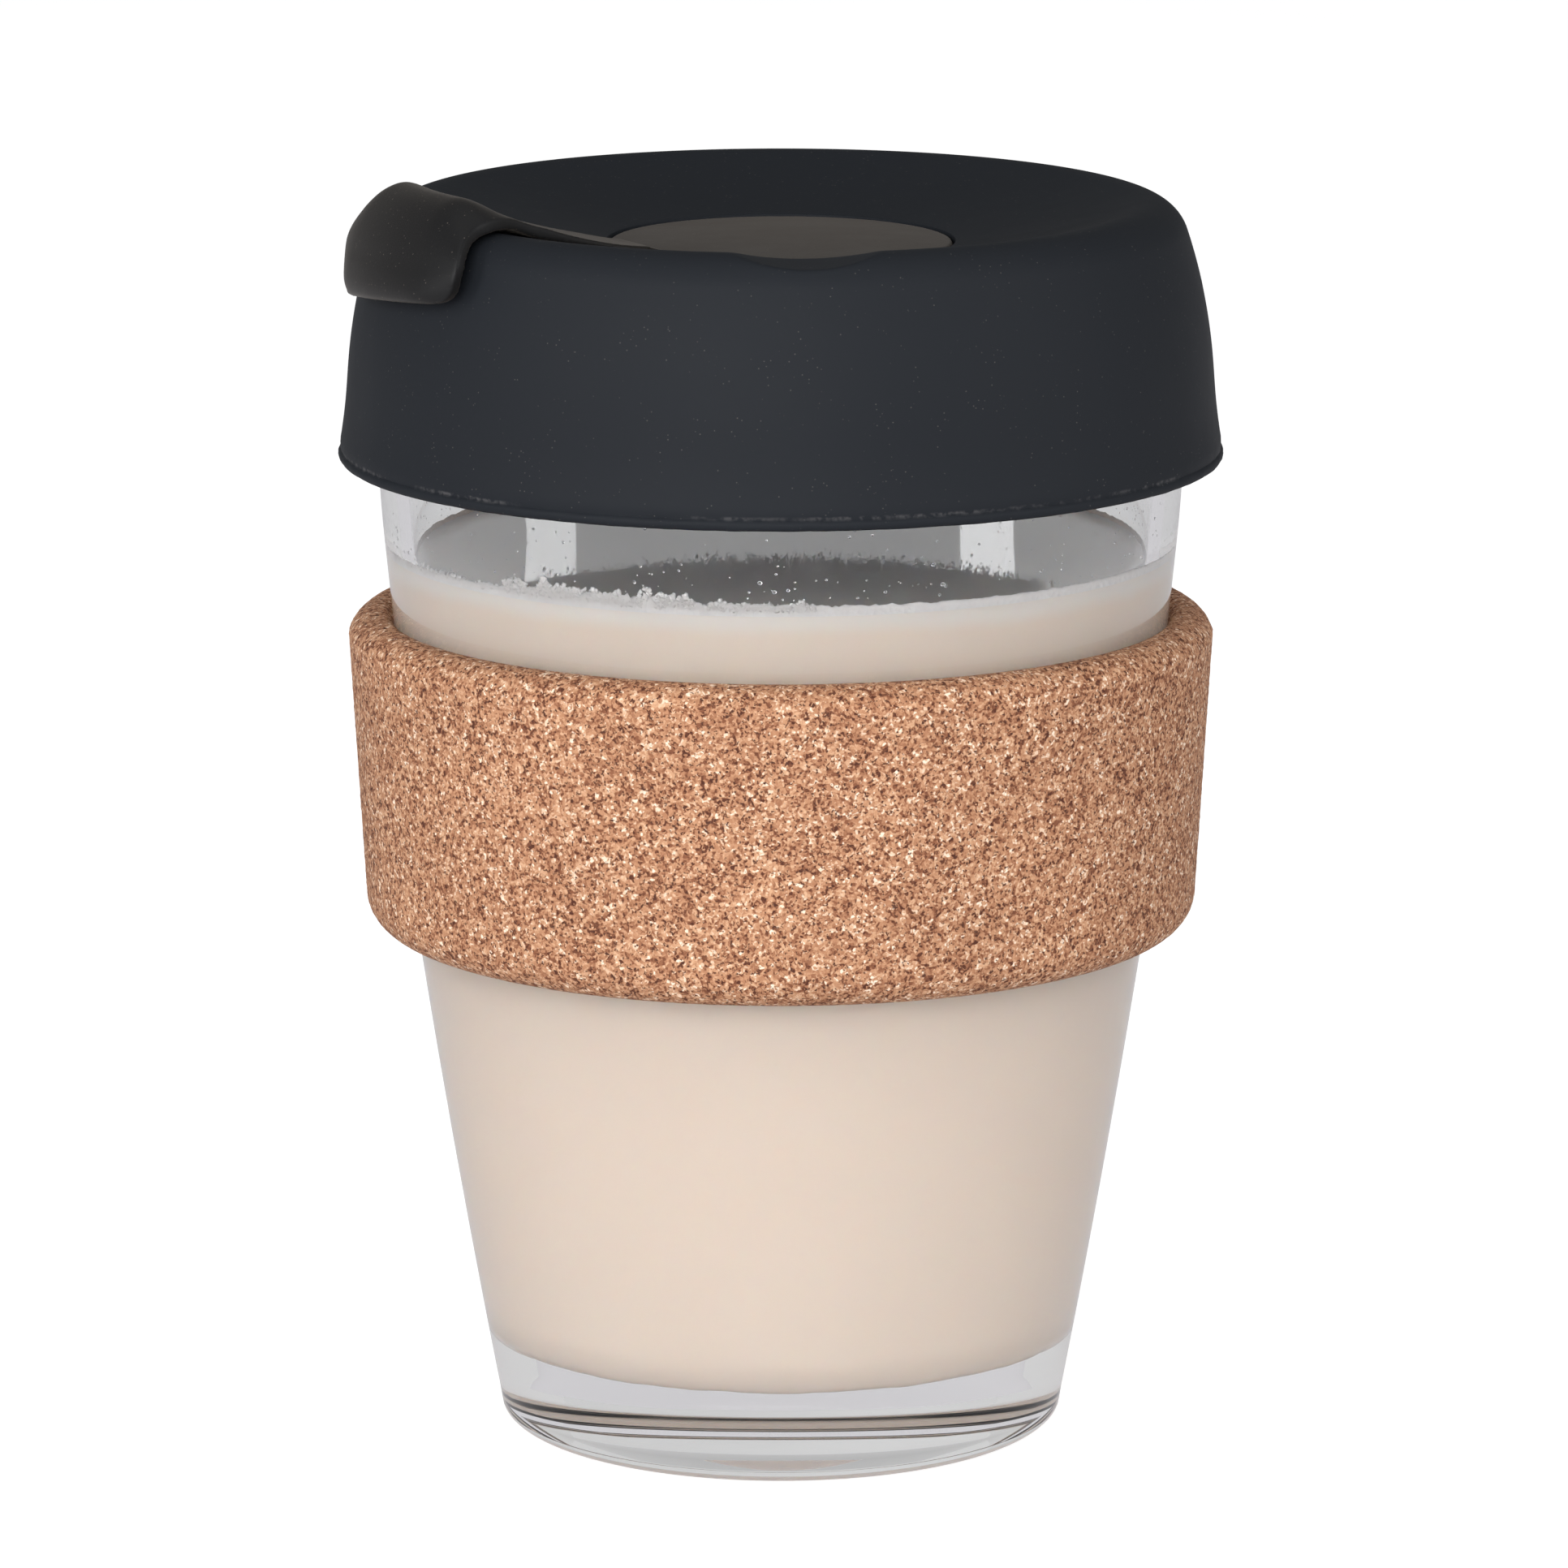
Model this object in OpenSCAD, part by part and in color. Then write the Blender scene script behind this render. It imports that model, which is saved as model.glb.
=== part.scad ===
// Reusable glass travel cup: glass, cork band, push-on lid and a soft splash plug.
// Millimetres, +Z up, origin at the centre of the foot, the drinker's side towards -Y.
// Every outline below is a half section: x is the distance from the cup's axis, y the height.

/* [Glass cup] */

// Height of the glass to its rim
glass_h = 107.2; // [106:0.2:108.4]
// Wall thickness
wall_t = 2.8; // [2.4:0.1:3]
// Thickness of the heavy clear base
floor_t = 9.5; // [8:0.5:11]
// Depth of the hollow under the base
kick_d = 1.2; // [0.8:0.1:2]
// Radius of the corner inside, between floor and wall
inside_corner_r = 5; // [4:0.5:6]

/* [Cork band] */

// Height of the band
band_h = 32; // [28:1:34]
// Height of its lower edge above the table
band_z = 51.3; // [50.5:0.1:53.5]
// Thickness of the cork
band_t = 4.5; // [4:0.1:5]
// Air between the cork and the glass
band_fit = 0.1; // [0.05:0.05:0.2]

/* [Lid] */

// Height of the lid's lip above the table
lip_z = 98.8; // [98.4:0.1:99.2]
// Radius of the lip
lip_r = 44; // [43.8:0.1:44.3]
// Radius of the crest of the rim
crest_r = 36.2; // [35.8:0.1:36.6]
// Height of the crest above the table
crest_z = 124.45; // [124:0.05:125]
// Thickness of the lid's wall and roof
lid_t = 2; // [1.8:0.1:2.2]
// Width of the dip in the front of the rim
notch_w = 13.7; // [10:0.1:16]
// Depth of the dip
notch_d = 1.2; // [0.8:0.1:1.5]
// Direction of the dip, counted from +X
notch_az = 274; // [268:1:280]
// Radius of the sip hole
sip_r = 3.7; // [3.5:0.1:4]

/* [Splash plug] */

// Radius of the plug's centre disc
disc_r = 17; // [16.5:0.1:17]
// Direction of the arm and tab, counted from +X
tab_az = 209; // [200:1:215]
// Height of the tab's ridge above the lid's crest
tab_rise = 3.2; // [2.8:0.1:3.6]
// How far the tab hangs below the lid's crest
tab_drop = 6.9; // [6:0.1:7.5]
// Thickness of the hanging flap
flap_t = 2.2; // [2:0.1:2.4]
// Half the tab's width at its lower edge
tab_half_w = 12; // [10:0.2:12.6]

/* [Hidden] */

$fn = 96;

// Facets of the very large circles that give the walls their slight bow.
bow_fn = 2400;
bowl_fn = 720;
// Longer than anything here, for cutting shapes.
far = 60;

// Glass.
foot_r = 24.1;
heel_r = 4.5;
heel_lean = 10.6;
heel_top = [foot_r + heel_r * cos(heel_lean), heel_r * (1 - sin(heel_lean))];
seat_low = [36.8, 53];
seat_high = [38.5, 81];
collar_low = [40.05, 96];
wall_bow = 0.25;
kick_r = 20;
kick_sphere = (kick_r * kick_r + kick_d * kick_d) / (2 * kick_d);
collar_in = collar_low[0] - wall_t;
inside_centre = [
    wall_r(floor_t + inside_corner_r) - wall_t - inside_corner_r * cos(heel_lean),
    floor_t + inside_corner_r
];
inside_low = inside_centre
    + inside_corner_r * [cos(heel_lean), -sin(heel_lean)];

// Band.
band_top_round = 3;
band_low_round = 3.8;
band_in_round = 1.2;

// Lid.
crest_round = 4.3;
crest_c = [crest_r, crest_z - crest_round];
shoulder_lean = 18;
shoulder = crest_c + crest_round * [cos(shoulder_lean), sin(shoulder_lean)];
waist = [43.05, 107];
shoulder_bow = 0.5;
flare_top = [lip_r - 0.05, lip_z + 1.2];
flare_bow = -0.2;
bead_r = 0.6;
bowl_z = 119.2;
bowl_rise = crest_c[1] - bowl_z;
bowl_R = (crest_r * crest_r + bowl_rise * bowl_rise - crest_round * crest_round)
    / (2 * (crest_round + bowl_rise));
bowl_c = [0, bowl_z + bowl_R];
bowl_edge = bowl_c + bowl_R / (bowl_R + crest_round) * (crest_c - bowl_c);
rest_gap = 0.12;
grip_gap = 0.3;
ledge_z = glass_h + rest_gap;
ledge_t = 2;
seal_t = 1.6;
seal_low = 101;
seal_out = collar_in - grip_gap;
mouth_r = 41.9;
mouth_z = 103.5;
pocket_gap = 0.3;
pocket_z = 118.4;
bore_r = 3.06;
notch_R = (notch_w * notch_w / 4 + notch_d * notch_d) / (2 * notch_d);
sip_at = 31;

// Plug.
stem_r = 3;
disc_z = pocket_z + 0.12;
disc_edge_z = 120.3;
disc_dome = 0.35;
disc_bevel = 0.35;
snap_r = 4.4;
snap_h = 1.7;
snap_top = pocket_z - lid_t - 0.15;
hinge_at = 15.8;
hinge_z = 120.25;
knuckle_r = 0.8;
knuckle_half = 3.6;
slot_gap = 0.25;
over_gap = 0.3;
arm_half_a = 13.2;
arm_root_z = 121.3;
arm_sag = 0.9;
tab_R = 5;
tab_c = [38.7, crest_z + tab_rise - tab_R];
tab_low_z = crest_z - tab_drop;
flap_in = 42.4;
flap_out = flap_in + flap_t;
flap_half_a = 17.5;
tab_top_half = tab_half_w - 2.6;
tab_corner = 4.5;
stopper_r = 3.1;
stopper_tip_r = 2.5;
stopper_low = 119.4;

// Outer radius of the glass at height z, on the straight line between heel and seat.
function wall_r(z) = heel_top[0]
    + (seat_low[0] - heel_top[0]) * (z - heel_top[1]) / (seat_low[1] - heel_top[1]);

// Radius of the glass outside, where the band sits.
function seat_r(z) = seat_low[0]
    + (seat_high[0] - seat_low[0]) * (z - seat_low[1]) / (seat_high[1] - seat_low[1]);

// Everything inside the arc that bows away from the chord a-b by h, between its two heights.
module bowed(a, b, h) {
    chord = norm(b - a);
    R = (chord * chord / 4 + h * h) / (2 * abs(h));
    out = (h > 0 ? 1 : -1) * [b[1] - a[1], a[0] - b[0]] / chord;
    c = (a + b) / 2 - out * (R - abs(h));
    intersection() {
        translate(c) circle(r = R, $fn = bow_fn);
        translate([0, min(a[1], b[1])]) square([far, abs(b[1] - a[1])]);
    }
}

// ---- glass ----

module glass_outside() {
    polygon([
        [0, 0], [foot_r, 0], heel_top, seat_low, seat_high, collar_low,
        [collar_low[0], glass_h - wall_t / 2], [0, glass_h - wall_t / 2]
    ]);
    translate([foot_r, heel_r]) circle(r = heel_r);
    bowed(heel_top, seat_low, wall_bow);
}

module glass_inside() {
    thin = [wall_t, 0];
    polygon([
        [0, floor_t], [inside_centre[0], floor_t], inside_low, seat_low - thin,
        seat_high - thin, collar_low - thin, [collar_in, glass_h + 1], [0, glass_h + 1]
    ]);
    translate(inside_centre) circle(r = inside_corner_r);
    bowed(inside_low, seat_low - thin, wall_bow);
}

module glass_cup() color("LightCyan", 0.5) rotate_extrude() intersection() {
    square([far, glass_h]);
    union() {
        difference() {
            glass_outside();
            glass_inside();
            translate([0, kick_d - kick_sphere]) circle(r = kick_sphere, $fn = bow_fn);
        }
        translate([collar_in + wall_t / 2, glass_h - wall_t / 2]) circle(r = wall_t / 2);
    }
}

// ---- cork band ----

// A rounded corner: the square left outside the circle that touches both its sides.
module corner(at, r, sx, sy) translate(at) scale([sx, sy]) difference() {
    translate([-1, -1]) square(r + 1);
    translate([r, r]) circle(r = r);
}

module cork_band() color("BurlyWood") rotate_extrude() difference() {
    low = seat_r(band_z) + band_fit;
    high = seat_r(band_z + band_h) + band_fit;
    polygon([
        [low, band_z], [low + band_t, band_z],
        [high + band_t, band_z + band_h], [high, band_z + band_h]
    ]);
    corner([low + band_t + 0.25, band_z], band_low_round, -1, 1);
    corner([high + band_t, band_z + band_h], band_top_round, -1, -1);
    corner([high, band_z + band_h], band_in_round, 1, -1);
}

// ---- lid ----

module lid_outside() {
    difference() {
        union() {
            polygon([
                [0, lip_z + bead_r], [lip_r - bead_r, lip_z + bead_r],
                [lip_r, lip_z + bead_r], flare_top, waist, shoulder,
                crest_c + [0, crest_round], bowl_edge, [0, bowl_edge[1]]
            ]);
            translate([mouth_r, lip_z]) square([lip_r - bead_r - mouth_r, 2 * bead_r]);
            translate(crest_c) circle(r = crest_round);
            bowed(waist, shoulder, shoulder_bow);
            translate([lip_r - bead_r, lip_z + bead_r]) circle(r = bead_r);
        }
        flare_cut();
    }
}

// The hollow curve that takes the wall out to the lip.
module flare_cut() {
    chord = norm(waist - flare_top);
    R = (chord * chord / 4 + flare_bow * flare_bow) / (2 * abs(flare_bow));
    out = [waist[1] - flare_top[1], flare_top[0] - waist[0]] / chord;
    translate((waist + flare_top) / 2 + out * (R - abs(flare_bow)))
        circle(r = R, $fn = bowl_fn);
}

// The hollow under the lid: round the glass, inside the seal and up into the crest.
module lid_hollow() {
    roof_in = shoulder - (lid_t + 0.2) * [cos(shoulder_lean), sin(shoulder_lean)];
    polygon([
        [collar_low[0] + grip_gap, ledge_z], [seal_out, ledge_z], [seal_out, lip_z - 1],
        [mouth_r, lip_z - 1], [mouth_r, lip_z],
        [collar_low[0] + grip_gap, mouth_z]
    ]);
    translate([-1, lip_z - 1]) square([seal_out + 2, seal_low - lip_z + 1]);
    difference() {
        union() {
            translate([-1, lip_z - 1])
                square([seal_out - seal_t + 1, ledge_z + 2 * ledge_t - lip_z]);
            polygon([
                [-1, ledge_z + ledge_t], [waist[0] - lid_t - 0.5, ledge_z + ledge_t],
                roof_in, crest_c + [0, crest_round - lid_t - 0.2],
                [-1, crest_z - lid_t - 0.2]
            ]);
            translate(crest_c) circle(r = crest_round - lid_t - 0.2);
        }
        translate(bowl_c) circle(r = bowl_R + lid_t, $fn = bowl_fn);
        translate([-2, pocket_z - lid_t]) square([disc_r + lid_t + 2, far]);
    }
}

module lid() color([0.2, 0.21, 0.22]) difference() {
    rotate_extrude() intersection() {
        square([far, crest_z + 1]);
        difference() {
            lid_outside();
            translate(bowl_c) circle(r = bowl_R, $fn = bowl_fn);
            lid_hollow();
            translate([-1, pocket_z]) square([disc_r + pocket_gap + 1, far]);
            translate([-1, lip_z]) square([bore_r + 1, far]);
        }
    }
    rotate([0, 0, tab_az]) translate([sip_at, 0, mouth_z + 10]) cylinder(r = sip_r, h = far);
    rotate([0, 0, notch_az]) translate([sip_at, 0, crest_z - notch_d + notch_R])
        rotate([0, 90, 0]) cylinder(r = notch_R, h = far, $fn = 180);
}

// ---- splash plug: one soft moulding, split where it bends ----

module plug_hub() color([0.29, 0.27, 0.26]) difference() {
    rotate_extrude() polygon([
        [0, snap_top - snap_h], [stem_r - 0.2, snap_top - snap_h],
        [snap_r, snap_top - 0.5], [snap_r, snap_top], [stem_r, snap_top], [stem_r, disc_z],
        [disc_r - disc_bevel, disc_z], [disc_r, disc_z + disc_bevel],
        [disc_r, disc_edge_z - disc_bevel], [disc_r - disc_bevel, disc_edge_z],
        [0, disc_edge_z + disc_dome]
    ]);
    rotate([0, 0, tab_az])
        translate([hinge_at - knuckle_r - slot_gap, -knuckle_half - slot_gap, disc_z - 1])
            cube([disc_r, 2 * (knuckle_half + slot_gap), far]);
}

// Where the lid is, with the air the arm keeps from it.
module lid_clearance() {
    translate(crest_c) circle(r = crest_round + over_gap);
    polygon([
        [crest_r - 1, lip_z], [flap_in, lip_z], [flap_in, tab_low_z + 0.6],
        crest_c + (crest_round + over_gap) * [cos(8), sin(8)], crest_c
    ]);
    difference() {
        square([bowl_edge[0], crest_z]);
        translate(bowl_c) circle(r = bowl_R - over_gap, $fn = bowl_fn);
    }
}

module arm_outline() {
    top_in = [hinge_at + knuckle_r, arm_root_z];
    top_out = tab_c + tab_R * [cos(112), sin(112)];
    chord = norm(top_out - top_in);
    R = (chord * chord / 4 + arm_sag * arm_sag) / (2 * arm_sag);
    up = [top_in[1] - top_out[1], top_out[0] - top_in[0]] / chord;
    difference() {
        union() {
            polygon([
                top_in, top_out, tab_c, tab_c + [tab_R, 0],
                [flap_out, tab_low_z + flap_t / 2], [flap_in, tab_low_z + flap_t / 2],
                [crest_r, lip_z + 10], [hinge_at + knuckle_r, lip_z + 10]
            ]);
            translate(tab_c) circle(r = tab_R);
        }
        translate((top_in + top_out) / 2 + up * (R - arm_sag)) circle(r = R, $fn = bowl_fn);
        lid_clearance();
        translate([0, lip_z]) square([far, tab_low_z + flap_t / 2 - lip_z]);
    }
    translate([flap_in + flap_t / 2, tab_low_z + flap_t / 2]) circle(r = flap_t / 2);
}

// The tab seen along the arm: wide and round-cornered below, narrower at the ridge.
module tab_face() {
    low = tab_low_z + tab_corner;
    high = crest_z + tab_rise - tab_corner + 0.1;
    for (s = [-1, 1]) {
        translate([s * (tab_half_w - tab_corner), low]) circle(r = tab_corner);
        translate([s * (tab_top_half - tab_corner), high]) circle(r = tab_corner);
    }
    polygon([
        [-tab_half_w + tab_corner, low - tab_corner], [tab_half_w - tab_corner, low - tab_corner],
        [tab_half_w, low], [tab_top_half, high],
        [tab_top_half - tab_corner, high + tab_corner],
        [-tab_top_half + tab_corner, high + tab_corner],
        [-tab_top_half, high], [-tab_half_w, low]
    ]);
}

module plug_arm() color([0.27, 0.26, 0.26]) rotate([0, 0, tab_az]) {
    rotate([0, 0, -arm_half_a]) rotate_extrude(angle = 2 * arm_half_a) intersection() {
        arm_outline();
        square([crest_r + 1, far * 3]);
    }
    intersection() {
        rotate([0, 0, -flap_half_a]) rotate_extrude(angle = 2 * flap_half_a) intersection() {
            arm_outline();
            translate([crest_r, 0]) square([far, far * 3]);
        }
        rotate([90, 0, 90]) linear_extrude(height = far) tab_face();
    }
    translate([0, knuckle_half, 0]) rotate([90, 0, 0]) linear_extrude(height = 2 * knuckle_half) {
        translate([hinge_at, hinge_z]) circle(r = knuckle_r);
        polygon([
            [hinge_at, hinge_z + 0.4], [hinge_at + 1.6, hinge_z + 0.6],
            [hinge_at + 1.6, arm_root_z], [hinge_at, hinge_z + knuckle_r]
        ]);
    }
}

module plug_stopper() color([0.27, 0.26, 0.26]) difference() {
    rotate([0, 0, tab_az]) translate([sip_at, 0, 0]) rotate_extrude() {
        polygon([
            [0, stopper_low], [stopper_tip_r - 0.6, stopper_low],
            [stopper_tip_r, stopper_low + 0.6], [stopper_r, crest_z], [0, crest_z]
        ]);
    }
    rotate_extrude() intersection() {
        translate([0, stopper_low]) square([crest_r - 0.5, far / 4]);
        translate(bowl_c) circle(r = bowl_R - over_gap, $fn = bowl_fn);
    }
}

glass_cup();
cork_band();
lid();
plug_hub();
plug_arm();
plug_stopper();
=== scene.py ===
"""Visual model of a glass travel cup with a cork band and a push-on lid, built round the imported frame.

Object data is in metres. Outlines are written in millimetres as (distance from the axis, height),
with +Z up and the viewer's side towards -Y.
"""

import math

import bmesh
import bpy
import numpy as np
from mathutils import Matrix, Vector, noise


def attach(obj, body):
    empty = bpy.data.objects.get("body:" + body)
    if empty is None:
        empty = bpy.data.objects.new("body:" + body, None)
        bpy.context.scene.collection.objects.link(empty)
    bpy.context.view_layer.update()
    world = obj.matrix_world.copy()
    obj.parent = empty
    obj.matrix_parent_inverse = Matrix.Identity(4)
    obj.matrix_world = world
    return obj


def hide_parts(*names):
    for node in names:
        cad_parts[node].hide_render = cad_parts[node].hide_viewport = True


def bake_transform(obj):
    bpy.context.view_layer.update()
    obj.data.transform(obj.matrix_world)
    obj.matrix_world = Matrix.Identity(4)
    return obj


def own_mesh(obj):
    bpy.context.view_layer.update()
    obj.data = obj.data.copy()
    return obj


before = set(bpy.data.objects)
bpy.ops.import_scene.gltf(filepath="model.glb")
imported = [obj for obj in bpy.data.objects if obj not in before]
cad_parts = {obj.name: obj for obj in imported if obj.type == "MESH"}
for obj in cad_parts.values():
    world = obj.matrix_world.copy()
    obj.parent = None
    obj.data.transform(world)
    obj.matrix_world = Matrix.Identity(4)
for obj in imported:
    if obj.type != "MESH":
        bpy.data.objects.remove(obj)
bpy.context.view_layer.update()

MM = 0.001
TURN = 2 * math.pi

# ------------------------------------------------------------ sizes, in mm and degrees

WALL_T, FLOOR_Z, CORNER_R = 2.8, 9.5, 5.0
KICK_D, KICK_R = 1.2, 20.0
FOOT_R, HEEL_R, HEEL_LEAN = 24.1, 4.5, 10.6
HEEL_RISE = 2.3  # half the height of the ellipse that rounds the visual heel
SEAT_LOW, SEAT_HIGH, COLLAR_LOW = (36.8, 53.0), (38.5, 81.0), (40.05, 96.0)
GLASS_H, WALL_BOW = 107.2, 0.25

BAND_Z, BAND_H, BAND_T, BAND_FIT = 51.3, 32.0, 4.5, 0.1

LIP_Z, LIP_R, BEAD_R = 98.8, 44.0, 0.6
CREST_R, CREST_Z, CREST_ROUND = 36.2, 124.45, 4.3
WAIST, SHOULDER_LEAN = (43.05, 107.0), 18.0
BOWL_Z, LID_T = 119.2, 2.0
POCKET_Z, POCKET_R, BORE_R = 118.4, 17.3, 3.06
NOTCH_AZ, NOTCH_W, NOTCH_D = 274.0, 13.7, 1.2
SIP_AT, SIP_R = 31.0, 3.7

TAB_AZ, TAB_SKEW = 209.0, 1.7
DISC_R, DISC_Z, DISC_EDGE_Z, DISC_DOME = 17.0, 118.52, 120.3, 0.32

DRINK_Z, MILK_Z = 89.5, 87.9

# Froth and spatter: azimuths from and to, and how high the froth heaps up. The last is the spatter.
CLUMPS = ((225, 257, 0.48), (256, 275, 0.24), (190, 226, 0.12), (35, 145, 0))
CLUMP_SHARES = (0.225, 0.053, 0.024, 0.698)
CRUMBS, SPATTER = 4900, 3
SPATTER_AZ, SPATTER_SPREAD = 82, 21
SPATTER_Z, SPATTER_RISE, SPATTER_SIZE = 98.1, 0.5, 0.5

# Condensation: mean and spread of the far drops, and each group's middling size as a logarithm.
DROPS, FAR_DROPS = 2800, 2300
FAR_DROP_AZ, FAR_DROP_Z = (85, 30), (98.1, 0.6)
FAR_DROP_SIZE, NEAR_DROP_SIZE = -2.35, -2.5

crest_c = (CREST_R, CREST_Z - CREST_ROUND)
rise = crest_c[1] - BOWL_Z
BOWL_R = (CREST_R**2 + rise**2 - CREST_ROUND**2) / (2 * (CREST_ROUND + rise))
BOWL_C = BOWL_Z + BOWL_R


def polar(c, r, deg):
    a = math.radians(deg)
    return (c[0] + r * math.cos(a), c[1] + r * math.sin(a))


def straight(a, b, z):
    """Radius at height z on the line from a to b."""
    return a[0] + (b[0] - a[0]) * (z - a[1]) / (b[1] - a[1])


heel_top = polar((FOOT_R, HEEL_R), HEEL_R, -HEEL_LEAN)
corner_z = FLOOR_Z + CORNER_R
corner_at = straight(heel_top, SEAT_LOW, corner_z) - WALL_T
corner_c = (corner_at - CORNER_R * math.cos(math.radians(HEEL_LEAN)), corner_z)
inside_low = polar(corner_c, CORNER_R, -HEEL_LEAN)

# ------------------------------------------------------------ outlines


def arc(c, r, a0, a1, n):
    return [polar(c, r, a) for a in np.linspace(a0, a1, n)]


def bow(p, q, h, n):
    """Points from p to q, bulging h to the left of that direction."""
    p, q = np.array(p, float), np.array(q, float)
    d = q - p
    left = np.array([-d[1], d[0]]) / np.linalg.norm(d)
    return [tuple(p + d * s + left * h * 4 * s * (1 - s)) for s in np.linspace(0, 1, n)]


def shifted(p, dr):
    return (p[0] + dr, p[1])


def split(points, step, closed=True):
    """The same outline with no side longer than step."""
    out = []
    ends = points[1:] + points[:1] if closed else points[1:]
    for a, b in zip(points, ends):
        k = max(1, math.ceil(math.dist(a, b) / step))
        out += [(a[0] + (b[0] - a[0]) * i / k, a[1] + (b[1] - a[1]) * i / k) for i in range(k)]
    return out if closed else out + [points[-1]]


def relax(points, rounds, z0, z1):
    """Takes the small kinks out of the outline between heights z0 and z1, moving radii only."""
    pts = [list(p) for p in points]
    for _ in range(rounds):
        new = [p[0] for p in pts]
        for i in range(1, len(pts) - 1):
            a, b, c = pts[i - 1], pts[i], pts[i + 1]
            if z0 < b[1] < z1 and abs(c[1] - a[1]) > 1e-6:
                s = (b[1] - a[1]) / (c[1] - a[1])
                if 0 < s < 1:
                    new[i] = 0.5 * b[0] + 0.5 * (a[0] + (c[0] - a[0]) * s)
        for p, r in zip(pts, new):
            p[0] = r
    return [tuple(p) for p in pts]


def inner_wall(step=1.0):
    """The inside of the glass from its floor's corner up to the collar."""
    t = -WALL_T
    pts = arc(corner_c, CORNER_R, -90, -HEEL_LEAN, 14)
    pts += bow(inside_low, shifted(SEAT_LOW, t), -WALL_BOW, 40)[1:]
    pts += [shifted(p, t) for p in (SEAT_HIGH, COLLAR_LOW, (COLLAR_LOW[0], GLASS_H - WALL_T / 2))]
    return relax(split(pts, step, False), 30, 40, 103)


def outer_wall(step=1.0):
    reach = straight(heel_top, SEAT_LOW, HEEL_RISE) - FOOT_R
    pts = [(FOOT_R + reach * x, HEEL_RISE * (1 + z)) for x, z in arc((0, 0), 1, -90, -HEEL_LEAN, 18)]
    pts += bow(heel_top, SEAT_LOW, -WALL_BOW, 46)
    pts += [SEAT_HIGH, COLLAR_LOW, (COLLAR_LOW[0], GLASS_H - WALL_T / 2)]
    return relax(split(pts, step, False), 30, 40, 103)


def radius_at(wall, z):
    rs, zs = zip(*wall)
    return float(np.interp(z, zs, rs))


INNER, OUTER = inner_wall(), outer_wall()

# ------------------------------------------------------------ meshes


def new_object(name, verts, faces, sharp=35.0):
    mesh = bpy.data.meshes.new(name)
    mesh.from_pydata([tuple(v) for v in verts], [], faces)
    mesh.validate()
    obj = bpy.data.objects.new(name, mesh)
    bpy.context.scene.collection.objects.link(obj)
    turn_out(obj)
    shade(obj, sharp)
    return obj


def shade(obj, sharp):
    obj.data.shade_smooth()
    if sharp:
        obj.data.set_sharp_from_angle(angle=math.radians(sharp))


def turn_out(obj):
    bm = bmesh.new()
    bm.from_mesh(obj.data)
    bmesh.ops.recalc_face_normals(bm, faces=bm.faces)
    bm.to_mesh(obj.data)
    bm.free()


def revolve(name, outline, segments, shift=None, sharp=35.0):
    """Turns a closed outline about the axis. shift(r, z, azimuth) may move each point."""
    verts, faces, rings = [], [], []
    azimuths = [TURN * i / segments for i in range(segments)]
    for r, z in outline:
        if r < 1e-6:
            rings.append([len(verts)] * segments)
            verts.append((0, 0, z * MM))
            continue
        rings.append(list(range(len(verts), len(verts) + segments)))
        for a in azimuths:
            rr, zz = shift(r, z, a) if shift else (r, z)
            verts.append((rr * MM * math.cos(a), rr * MM * math.sin(a), zz * MM))
    for i, a in enumerate(rings):
        b = rings[(i + 1) % len(rings)]
        if a[0] == a[1] and b[0] == b[1]:
            continue
        for j in range(segments):
            k = (j + 1) % segments
            quad = [a[j], a[k], b[k], b[j]]
            faces.append([v for m, v in enumerate(quad) if v != quad[m - 1]])
    return new_object(name, verts, faces, sharp)


def apply_modifiers(obj):
    dg = bpy.context.evaluated_depsgraph_get()
    mesh = bpy.data.meshes.new_from_object(obj.evaluated_get(dg))
    obj.modifiers.clear()
    old, obj.data = obj.data, mesh
    bpy.data.meshes.remove(old)
    mesh.name = obj.name


def carve(obj, cutter):
    m = obj.modifiers.new("carve", "BOOLEAN")
    m.object, m.operation, m.solver = cutter, "DIFFERENCE", "EXACT"
    apply_modifiers(obj)
    bpy.data.objects.remove(cutter)


def paint(obj, material):
    obj.data.materials.clear()
    obj.data.materials.append(material)
    return obj


def at_tab(rho, across=0.0, z=0.0):
    """A point in metres from its distance along the tab's direction, across it, and its height."""
    c, s = math.cos(math.radians(TAB_AZ)), math.sin(math.radians(TAB_AZ))
    return Vector(((rho * c - across * s) * MM, (rho * s + across * c) * MM, z * MM))


# ------------------------------------------------------------ material helper


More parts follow.
